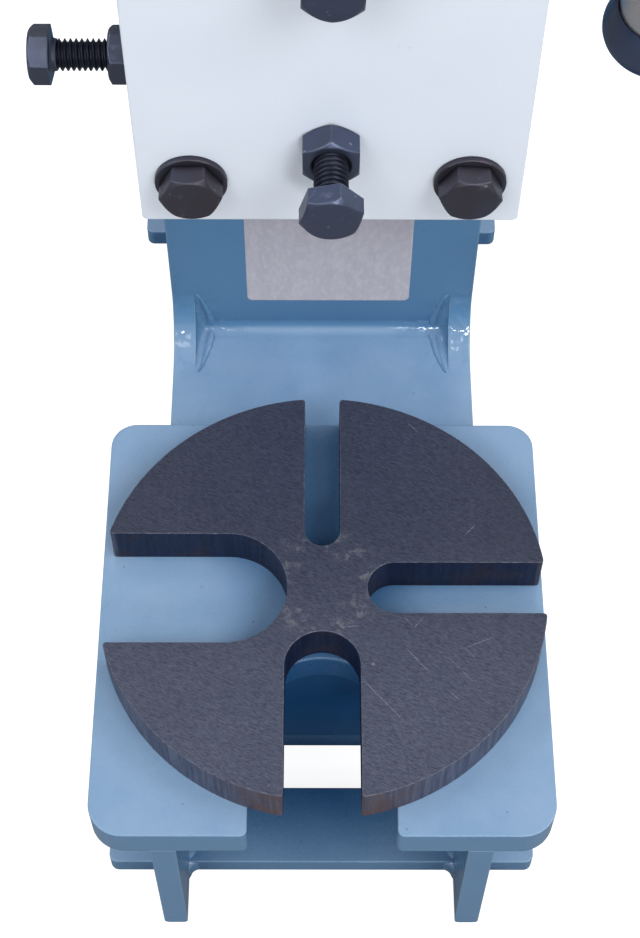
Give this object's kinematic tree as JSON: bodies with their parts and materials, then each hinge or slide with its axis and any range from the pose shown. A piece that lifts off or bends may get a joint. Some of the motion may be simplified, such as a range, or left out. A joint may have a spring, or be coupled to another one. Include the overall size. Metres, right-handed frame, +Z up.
{
  "type": "rack and pinion hand press",
  "caption": "Bench hand press: a lever turns a pinion that drives a square toothed ram down onto a round notched table plate, in a welded plate frame.",
  "frame": {"origin": "middle of the four bench bolt holes, on the bench", "axes": "+X to the operator's right, +Y to the back, +Z up along the ram"},
  "size_m": [0.2113, 0.4651, 0.941],
  "materials": {
    "frame_blue": "gloss light blue enamel",
    "head_white": "satin bluish white enamel",
    "black_steel": "black oxide",
    "plate_black": "brushed black oxide",
    "ram_steel": "ground",
    "guide_steel": "milled",
    "lever_steel": "bright turned",
    "gib_brass": "milled",
    "bush_brass": "turned",
    "cap_black": "moulded blue black"
  },
  "bodies": {
    "frame": {"left_side_plate": "frame_blue", "right_side_plate": "frame_blue", "column_web": "frame_blue", "throat_web": "frame_blue", "back_web": "frame_blue", "arm_web": "frame_blue", "crown_plate": "frame_blue", "table_cross_web": "frame_blue", "table": "frame_blue", "front_foot": "frame_blue", "rear_foot": "frame_blue", "left_pad": "frame_blue", "right_pad": "frame_blue", "left_cheek": "head_white", "right_cheek": "head_white", "head_back_plate": "head_white", "front_plate": "head_white", "right_boss": "head_white", "left_boss": "head_white", "corner_bolts": "black_steel", "corner_washers": "black_steel", "front_gib_locknuts": "black_steel", "side_gib_locknuts": "black_steel", "side_gib_washers": "black_steel", "head_screws": "black_steel", "lower_rear_guide": "guide_steel", "upper_rear_guide": "guide_steel", "pivot_pin": "guide_steel", "front_gib": "gib_brass", "side_gib": "gib_brass", "right_bush": "bush_brass", "left_bush": "bush_brass"},
    "ram": {"ram": "ram_steel"},
    "pinion": {"pinion_shaft": "black_steel", "keeper_washer": "black_steel", "keeper_bolt": "black_steel", "hub_lock_screw": "black_steel"},
    "lever": {"lever_bar": "lever_steel", "lower_lever_cap": "cap_black", "upper_lever_cap": "cap_black"},
    "table_plate": {"table_plate": "plate_black"},
    "lower_front_adjuster": {"lower_front_gib_screw": "black_steel"},
    "upper_front_adjuster": {"upper_front_gib_screw": "black_steel"},
    "lower_side_adjuster": {"lower_side_gib_screw": "black_steel"},
    "upper_side_adjuster": {"upper_side_gib_screw": "black_steel"}
  },
  "joints": [
    {"name": "lever_turn", "type": "hinge", "parent": "frame", "child": "pinion", "pos_m": [0, -0.1479, 0.578], "axis": [1, 0, 0], "range_deg": [-125, 1020]},
    {"name": "ram_slide", "type": "slide", "parent": "frame", "child": "ram", "axis": [0, 0, -1], "range_m": [-0.0394, 0.3206]},
    {"name": "lever_slide", "type": "slide", "parent": "pinion", "child": "lever", "axis": [0, -0.1908, 0.9816], "range_m": [-0.316, 0.052]},
    {"name": "plate_turn", "type": "hinge", "parent": "frame", "child": "table_plate", "pos_m": [0, -0.125, 0.126], "axis": [0, 0, 1], "continuous": true},
    {"name": "lower_front_adjust", "type": "hinge", "parent": "frame", "child": "lower_front_adjuster", "pos_m": [0, -0.2275, 0.549], "axis": [0, 1, 0], "range_deg": [-180, 30]},
    {"name": "upper_front_adjust", "type": "hinge", "parent": "frame", "child": "upper_front_adjuster", "pos_m": [0, -0.2275, 0.607], "axis": [0, 1, 0], "range_deg": [-180, 30]},
    {"name": "lower_side_adjust", "type": "hinge", "parent": "frame", "child": "lower_side_adjuster", "pos_m": [-0.046, -0.185, 0.533], "axis": [1, 0, 0], "range_deg": [-180, 30]},
    {"name": "upper_side_adjust", "type": "hinge", "parent": "frame", "child": "upper_side_adjuster", "pos_m": [-0.046, -0.185, 0.623], "axis": [1, 0, 0], "range_deg": [-180, 30]}
  ],
  "couplings": [
    {"joint": "ram_slide", "follows": "lever_turn", "m_per_rad": 0.018}
  ]
}
